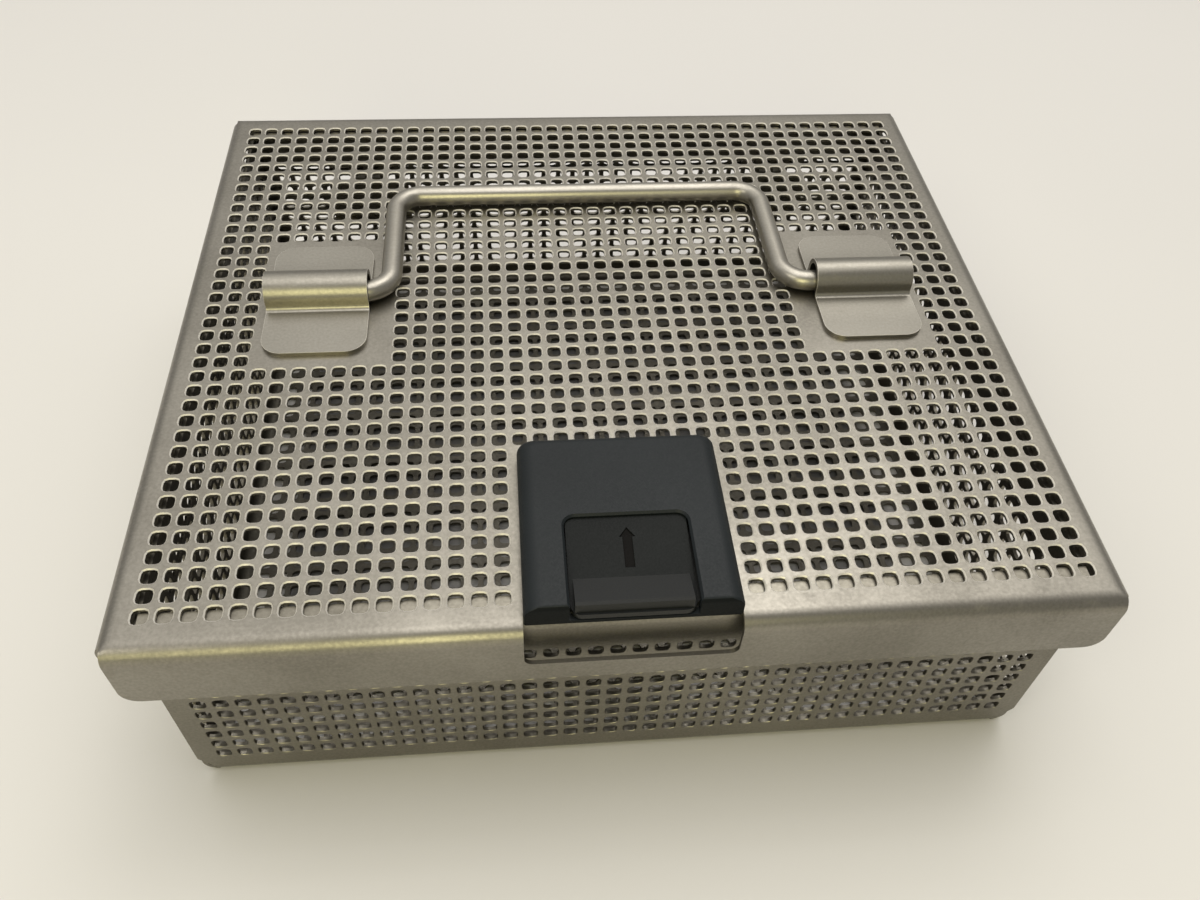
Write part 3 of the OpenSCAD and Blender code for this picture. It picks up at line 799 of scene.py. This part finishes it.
def make_bail():
    """The carrying handle: one round rod bent four times."""
    thick = (bail_high.z - bail_low.z) / 2
    z = (bail_low.z + bail_high.z) / 2
    front = bail_low.y + thick
    back = bail_high.y - thick
    leg_left = bail_low.x + ROD_END + ROD_BEND
    leg_right = bail_high.x - ROD_END - ROD_BEND
    turns = [((leg_left - ROD_BEND, front + ROD_BEND), -90, 0),
             ((leg_left + ROD_BEND, back - ROD_BEND), 180, 90),
             ((leg_right - ROD_BEND, back - ROD_BEND), 90, 0),
             ((leg_right + ROD_BEND, front + ROD_BEND), 180, 270)]
    path = [(bail_low.x, front)]
    for (cx, cy), start, end in turns:
        path += arc_points(cx, cy, ROD_BEND, start, end, ROD_BEND_STEPS)
    path.append((bail_high.x, front))
    solid = tube([Vector((x, y, z)) for x, y in path], thick)
    return from_bmesh("handle_rod", solid, "handle", "handle_bail", sharp=50)


def housing_levels():
    """Plans of the housing from its foot to its rounded top."""
    half = house_high.x
    low, high = house_low.z, house_high.z
    rings = [(0, low)]
    for k in range(CROWN_STEPS + 1):
        angle = math.radians(90 * k / CROWN_STEPS)
        rings.append((1 - math.cos(angle), high - CROWN * (1 - math.sin(angle))))
    levels = []
    for inset, z in rings:
        over = min(max(0, z - (high - NOSE_ROUND)) / NOSE_ROUND, 1)
        lean = NOSE_LEAN * (z - low) / (high - low)
        nose = house_low.y + lean + NOSE_ROUND * (1 - math.sqrt(1 - over ** 2)) * NOSE_ROUND_IN
        plan = rounded_rect(-half + FLANK_IN * inset, half - FLANK_IN * inset, nose,
                            house_high.y - BACK_IN * inset, BACK_CORNER - BACK_CORNER_IN * inset,
                            FRONT_CORNER)
        levels.append([(x, y, z) for x, y in plan])
    return levels


def opening_plan(grow):
    """Plan of the opening for the slider's pad, open to the front."""
    half = PAD_X + GAP + grow
    return rounded_rect(-half, half, house_low.y - PAST_OPENING, PAD_BACK + grow,
                        OPENING_CORNER + grow, FREE_OPENING_CORNER)


def cut_opening(piece):
    """Cuts the opening for the slider's pad, with a chamfer round its upper rim."""
    top = house_high.z
    shaft = upright(opening_plan(0), house_low.z + SILL, top + PAST_OPENING)
    combine(piece, shaft, "DIFFERENCE")
    plans = [(0, top - OPENING_CHAMFER), (OPENING_CHAMFER, top), (OPENING_CHAMFER, top + PAST)]
    funnel = prism([[(x, y, z) for x, y in opening_plan(grow)] for grow, z in plans])
    combine(piece, funnel, "DIFFERENCE")


def cut_inside(piece):
    """Cuts the cavity that the slider runs in, and the holes for the four screws."""
    low = house_low.z - PAST_CAVITY
    cavity = rounded_rect(-CAVITY_X, CAVITY_X, CAVITY_FRONT, CAVITY_BACK, CAVITY_CORNER,
                          CAVITY_CORNER)
    combine(piece, upright(cavity, low, house_high.z - ROOF), "DIFFERENCE")
    for node in ("latch_screw_1", "latch_screw_2", "latch_screw_3", "latch_screw_4"):
        screw_low, screw_high = [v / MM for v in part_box(node)]
        x, y = (screw_low.x + screw_high.x) / 2, (screw_low.y + screw_high.y) / 2
        hole = rod(x, y, low, SCREW_HOLE_R, screw_high.z + SCREW_ROOM - low, "z")
        combine(piece, hole, "DIFFERENCE")


def make_housing():
    """The moulded latch housing, with soft flanks and the slider's opening."""
    piece = from_bmesh("latch_moulding", prism(housing_levels()), "lid", "latch_housing",
                       sharp=30)
    cut_opening(piece)
    cut_inside(piece)
    # Front-facing faces near the housing's foot get a darker, less glossy copy of its plastic:
    # painted shade.
    front = (house_low.y + FRONT_SHADE_DEPTH) * MM
    facing = -0.7
    for face in piece.data.polygons:
        if face.normal.y < facing and face.center.y < front:
            face.material_index = 1
    soften(piece, width=0.35, segments=3, angle=40)
    return piece


def slider_body(low, high, top, back):
    """The slider's sloping pad with its thumb ridge, and the guide block that runs in the housing."""
    nose_low = house_low.z + SILL + GAP
    profile = [(low.y, nose_low), (low.y, NOSE_TOP), PAD_FOOT, (PAD_BACK, top), (back, top),
               (back, low.z), (GUIDE_FRONT, low.z), (GUIDE_FRONT, nose_low)]
    piece = from_bmesh("latch_thumb_slider", across(profile, PAD_X), "slider", "latch_slider",
                       sharp=30)
    ridge = [(PAD_FOOT[0], PAD_FOOT[1] - RIDGE_SUNK), PAD_FOOT, (CREST[0] + CREST_WIDTH, CREST[1]),
             (CREST[0], CREST[1] - CREST_FALL), (CREST[0] - RIDGE_LEAN, NOSE_TOP - RIDGE_LEAN)]
    combine(piece, across(ridge, PAD_X - RIDGE_IN), "UNION")
    plan = rounded_rect(-PAD_X, PAD_X, low.y, back + PAST, FREE_CORNER, PAD_CORNER)
    combine(piece, upright(plan, low.z - PAST, high.z + PAST), "INTERSECT")
    guide = rounded_rect(low.x, high.x, GUIDE_FRONT, back, GUIDE_CORNER, GUIDE_CORNER)
    combine(piece, upright(guide, low.z, GUIDE_TOP), "UNION")
    return piece


def arrow_solid(tilt):
    """The arrow that is sunk into the pad, laid on the pad's slope."""
    shape = [(0, 0), (-ARROW_HEAD_X, -ARROW_HEAD), (-ARROW_SHAFT_X, -ARROW_HEAD),
             (-ARROW_SHAFT_X, -ARROW_LENGTH), (ARROW_SHAFT_X, -ARROW_LENGTH),
             (ARROW_SHAFT_X, -ARROW_HEAD), (ARROW_HEAD_X, -ARROW_HEAD)]
    solid = upright([(x, y - ARROW_TIP) for x, y in shape], -ARROW_DEPTH, PAST)
    bmesh.ops.transform(solid, matrix=tilt, verts=solid.verts)
    return solid


def make_slider():
    """The slider: guide block, sloping pad, thumb ridge, pegs and sunk arrow."""
    low, high = [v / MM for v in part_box("latch_slider")]
    top = house_high.z - ROOF - ROOF_GAP
    back = high.y - PEG_LENGTH
    piece = slider_body(low, high, top, back)
    for x in (-PEG_X, PEG_X):
        peg = rod(x, back - PEG_SUNK, (low.z + top) / 2, PEG_R, PEG_LENGTH + PEG_SUNK, "y")
        combine(piece, peg, "UNION")
    slope = math.atan2(top - PAD_FOOT[1], PAD_BACK - PAD_FOOT[0])
    tilt = Matrix.Translation(Vector((0, PAD_BACK, top)) * MM) @ Matrix.Rotation(slope, 4, "X")
    combine(piece, arrow_solid(tilt), "DIFFERENCE")
    # The pad's sloping top gets a darker, less glossy copy of the slider plastic, painted shade; the
    # arrow's floor gets its own rougher plastic.
    normal = tilt.to_3x3() @ Vector((0, 0, 1))
    facing, nearly = 0.99, 0.1
    for face in piece.data.polygons:
        depth = (tilt.translation - face.center).dot(normal) / MM
        if face.normal.dot(normal) > facing and depth < ARROW_DEPTH + nearly:
            face.material_index = 2 if depth > ARROW_DEPTH - nearly else 1
    soften(piece, width=0.2, segments=2, angle=25)
    return piece


def make_material(name):
    """A new node material, its shader and its place coordinates."""
    material = bpy.data.materials.new(name)
    material.use_nodes = True
    tree = material.node_tree
    place = tree.nodes.new("ShaderNodeTexCoord")
    return material, tree, tree.nodes["Principled BSDF"], place.outputs["Object"]


def noise(tree, place, scale, detail):
    """Noise over the object."""
    node = tree.nodes.new("ShaderNodeTexNoise")
    node.inputs["Scale"].default_value = scale
    node.inputs["Detail"].default_value = detail
    tree.links.new(place, node.inputs["Vector"])
    return node.outputs["Fac"]


def math_node(tree, operation, first, second):
    """One sum of two values; each is a number or another node's output."""
    node = tree.nodes.new("ShaderNodeMath")
    node.operation = operation
    for k, value in enumerate((first, second)):
        if isinstance(value, (int, float)):
            node.inputs[k].default_value = value
        else:
            tree.links.new(value, node.inputs[k])
    return node.outputs["Value"]


def ramp(tree, value, stops):
    """Colours spread over a value."""
    node = tree.nodes.new("ShaderNodeValToRGB")
    elements = node.color_ramp.elements
    while len(elements) < len(stops):
        elements.new(0.5)
    for element, (at, colour) in zip(elements, stops):
        element.position = at
        element.color = (*colour, 1)
    tree.links.new(value, node.inputs["Fac"])
    return node.outputs["Color"]


def spread(tree, value, low, high, to_low, to_high):
    """A value mapped from one range to another."""
    node = tree.nodes.new("ShaderNodeMapRange")
    numbers = {"From Min": low, "From Max": high, "To Min": to_low, "To Max": to_high}
    for socket, number in numbers.items():
        node.inputs[socket].default_value = number
    tree.links.new(value, node.inputs["Value"])
    return node.outputs["Result"]


def bump(tree, shader, height, distance, strength):
    """Bump on the shader's normal."""
    node = tree.nodes.new("ShaderNodeBump")
    node.inputs["Distance"].default_value = distance
    node.inputs["Strength"].default_value = strength
    tree.links.new(height, node.inputs["Height"])
    tree.links.new(node.outputs["Normal"], shader.inputs["Normal"])


def steel(name, dark, light, smooth, rough, metal=1.0):
    """Satin stainless steel with a fine grain, cloudy wear and small dull marks."""
    material, tree, shader, place = make_material(name)
    grain = noise(tree, place, scale=1400, detail=3)
    cloud = noise(tree, place, scale=28, detail=5)
    mark = noise(tree, place, scale=170, detail=3)
    low, high = 0.36, 0.64
    cloud_share, grain_share = 0.6, 0.4
    mixed = math_node(tree, "ADD", math_node(tree, "MULTIPLY", cloud, cloud_share),
                      math_node(tree, "MULTIPLY", grain, grain_share))
    tree.links.new(ramp(tree, mixed, [(low, dark), (high, light)]), shader.inputs["Base Color"])
    dull = spread(tree, mark, low=0.62, high=0.72, to_low=0, to_high=0.1)
    satin = math_node(tree, "ADD", spread(tree, mixed, low, high, rough, smooth), dull)
    tree.links.new(satin, shader.inputs["Roughness"])
    shader.inputs["Metallic"].default_value = metal
    bump(tree, shader, grain, distance=0.00001, strength=0.35)
    return material


def plastic(name, dark, light, rough, grain_scale, gloss):
    """Moulded plastic with a fine eroded grain and faint cloudiness."""
    material, tree, shader, place = make_material(name)
    cloud = noise(tree, place, scale=45, detail=4)
    grain = noise(tree, place, scale=grain_scale, detail=2)
    low, high = 0.3, 0.7
    uneven = 0.06
    tree.links.new(ramp(tree, cloud, [(low, dark), (high, light)]), shader.inputs["Base Color"])
    satin = spread(tree, grain, low, high, rough - uneven, rough + uneven)
    tree.links.new(satin, shader.inputs["Roughness"])
    shader.inputs["Specular IOR Level"].default_value = gloss
    bump(tree, shader, grain, distance=0.00004, strength=0.5)
    return material


def dress(piece, *materials):
    """Gives a piece its materials, in the order of its faces' finishes."""
    add_slots(piece, len(materials))
    for k, slot in enumerate(piece.material_slots):
        slot.material = materials[min(k, len(materials) - 1)]


def make_floor():
    """The pale table top, with painted shade under the tray, where little light falls."""
    below = 0.2 * MM
    bpy.ops.mesh.primitive_plane_add(size=6, location=(0, 0, -below))
    floor = bpy.context.object
    floor.name = "floor"
    material, tree, shader, place = make_material("floor")
    cloud = noise(tree, place, scale=3, detail=3)
    parts = tree.nodes.new("ShaderNodeSeparateXYZ")
    tree.links.new(place, parts.inputs["Vector"])
    # Painted shade: the floor's colour is darkened inside the tray's footprint, fading out short of
    # its edges.
    fade = 8 * MM
    painted_shade_strength = 0.4
    inside = []
    for axis, half in (("X", TRAY_X * MM), ("Y", TRAY_Y * MM)):
        away = math_node(tree, "ABSOLUTE", parts.outputs[axis], 0)
        inside.append(spread(tree, away, half - 2 * fade, half - fade, 1, 0))
    under = math_node(tree, "MULTIPLY", inside[0], inside[1])
    shade = math_node(tree, "SUBTRACT", cloud, math_node(tree, "MULTIPLY", under, painted_shade_strength))
    stops = [(0.1, (0.10, 0.098, 0.094)), (0.3, (0.70, 0.685, 0.66)), (0.7, (0.72, 0.705, 0.68))]
    tree.links.new(ramp(tree, shade, stops), shader.inputs["Base Color"])
    shader.inputs["Roughness"].default_value = 0.55
    dress(floor, material)


def area_light(name, at, aim, size, power, colour):
    """A soft rectangular lamp aimed at a point."""
    data = bpy.data.lights.new(name, "AREA")
    data.shape = "RECTANGLE"
    data.size, data.size_y = size
    data.energy = power
    data.color = colour
    lamp = bpy.data.objects.new(name, data)
    lamp.location = at
    lamp.rotation_euler = (Vector(aim) - Vector(at)).to_track_quat("-Z", "Y").to_euler()
    bpy.context.scene.collection.objects.link(lamp)


def make_world():
    """A pale room that lights the part from above and behind, with a pale view all round."""
    seen, mirrored = 0.7, 0.35
    world = bpy.data.worlds.new("studio")
    world.use_nodes = True
    tree = world.node_tree
    place = tree.nodes.new("ShaderNodeTexCoord")
    parts = tree.nodes.new("ShaderNodeSeparateXYZ")
    tree.links.new(place.outputs["Generated"], parts.inputs["Vector"])
    by_height = spread(tree, parts.outputs["Z"], low=0.3, high=0.8, to_low=0.43, to_high=1.4)
    by_side = spread(tree, parts.outputs["Y"], low=-0.5, high=0.4, to_low=0.05, to_high=1)
    light = math_node(tree, "MULTIPLY", by_height, by_side)
    rays = tree.nodes.new("ShaderNodeLightPath")
    view = math_node(tree, "MULTIPLY", rays.outputs["Is Camera Ray"], seen)
    bounced = math_node(tree, "MAXIMUM", rays.outputs["Is Glossy Ray"],
                        rays.outputs["Is Transmission Ray"])
    shine = math_node(tree, "MULTIPLY", bounced, mirrored)
    light = math_node(tree, "MAXIMUM", math_node(tree, "MAXIMUM", light, view), shine)
    background = tree.nodes["Background"]
    background.inputs["Color"].default_value = (1.0, 0.975, 0.935, 1)
    tree.links.new(light, background.inputs["Strength"])
    bpy.context.scene.world = world


def make_camera():
    """The camera that sees the part as the photograph does."""
    lens = bpy.data.cameras.new("camera")
    lens.lens = CAMERA_LENS
    lens.sensor_width = CAMERA_SENSOR
    lens.clip_start = CAMERA_NEAR
    camera = bpy.data.objects.new("camera", lens)
    camera.location = CAMERA_AT
    camera.rotation_euler = [math.radians(a) for a in CAMERA_TURN]
    bpy.context.scene.collection.objects.link(camera)
    bpy.context.scene.camera = camera


# Pieces
lid_sheet = make_lid()
tray_sheet = make_tray()
bracket_right = make_bracket(1, "handle_bracket_right", "bracket_strip_right")
bracket_left = make_bracket(-1, "handle_bracket_left", "bracket_strip_left")
bail = make_bail()
housing = make_housing()
slider = make_slider()

# Steels: darker and lighter colour, and roughness where they are smooth and rough
lid_steel = steel("lid_steel", (0.209, 0.196, 0.167), (0.298, 0.281, 0.243), 0.31, 0.43)
# A darker, rougher copy of the lid steel for the lid's inner skin: painted shade.
lid_inside_painted_shade = steel("lid_inside_painted_shade", (0.130, 0.121, 0.104), (0.182, 0.172, 0.148), 0.42, 0.52)
# A far lighter, less metallic copy of the steel for the lid's hole rims and the brackets' rounded
# rims: painted highlight.
edge_steel_painted_highlight = steel("edge_steel_painted_highlight", (0.646, 0.617, 0.556), (0.741, 0.712, 0.646), 0.40, 0.50, 0.35)
tray_steel = steel("tray_steel", (0.182, 0.169, 0.139), (0.263, 0.247, 0.206), 0.33, 0.45)
# A darker, rougher copy of the tray steel for the tray's inner skin: painted shade.
tray_inside_painted_shade = steel("tray_inside_painted_shade", (0.130, 0.121, 0.100), (0.186, 0.174, 0.146), 0.42, 0.52)
strip_steel = steel("strip_steel", (0.251, 0.237, 0.203), (0.328, 0.311, 0.270), 0.29, 0.38)
rod_steel = steel("rod_steel", (0.316, 0.298, 0.257), (0.389, 0.369, 0.322), 0.30, 0.38)
small_steel = steel("small_steel", (0.275, 0.263, 0.239), (0.340, 0.327, 0.300), 0.26, 0.34)

# Plastics: darker and lighter colour, roughness, scale of their grain, and gloss
housing_plastic = plastic("housing_plastic", (0.0062, 0.0090, 0.0108), (0.0092, 0.0126, 0.0148),
                          rough=0.50, grain_scale=2200, gloss=0.26)
# A darker, less glossy copy of the housing plastic for its front faces: painted shade.
housing_front_painted_shade = plastic("housing_front_painted_shade", (0.0050, 0.0062, 0.0070), (0.0070, 0.0085, 0.0095),
                        rough=0.55, grain_scale=2200, gloss=0.08)
slider_plastic = plastic("slider_plastic", (0.0058, 0.0068, 0.0066), (0.0084, 0.0096, 0.0094),
                         rough=0.48, grain_scale=2600, gloss=0.38)
# A darker, less glossy copy of the slider plastic for the pad's top: painted shade.
pad_plastic_painted_shade = plastic("pad_plastic_painted_shade", (0.0050, 0.0063, 0.0062), (0.0074, 0.0090, 0.0088),
                      rough=0.55, grain_scale=2600, gloss=0.15)
arrow_plastic = plastic("arrow_plastic", (0.0052, 0.0048, 0.0046), (0.0072, 0.0067, 0.0064),
                        rough=0.75, grain_scale=3000, gloss=0.09)

# Materials of the pieces made here, and of the CAD objects by their slots
dress(lid_sheet, lid_steel, lid_inside_painted_shade, edge_steel_painted_highlight)
dress(tray_sheet, tray_steel, tray_inside_painted_shade, tray_steel)
dress(bracket_right, strip_steel, edge_steel_painted_highlight)
dress(bracket_left, strip_steel, edge_steel_painted_highlight)
dress(bail, rod_steel)
dress(housing, housing_plastic, housing_front_painted_shade)
dress(slider, slider_plastic, pad_plastic_painted_shade, arrow_plastic)
BY_SLOT = {"lid_steel": lid_steel, "tray_steel": tray_steel, "bracket_steel": strip_steel,
           "rod_steel": rod_steel, "pin_steel": small_steel, "housing_plastic": housing_plastic,
           "slider_plastic": slider_plastic}
for part in frame["record"]["subparts"]:
    dress(frame["nodes"][part["node"]], BY_SLOT[part["material_slot"]])

# Stage: table top, lamps with place, aim, size, power and colour, room and camera
make_floor()
area_light("back_ceiling", (0.4, 0.7, 1.5), (0, 0, 0), (1.0, 0.8), 4.6, (1.0, 0.97, 0.93))
area_light("ceiling", (0, 0, 1.6), (0, 0, 0), (1.0, 1.0), 6.5, (1.0, 0.97, 0.93))
area_light("side_lamp", (-0.8, -0.7, 1.1), (0, 0, 0.03), (0.5, 0.5), 2.8, (1.0, 0.95, 0.82))
area_light("front_lamp", (-0.21, -1.22, 0.66), (0, 0, 0), (0.55, 0.75), 5.2, (1.0, 0.94, 0.50))
make_world()
bpy.context.scene.view_settings.view_transform = "Standard"
make_camera()
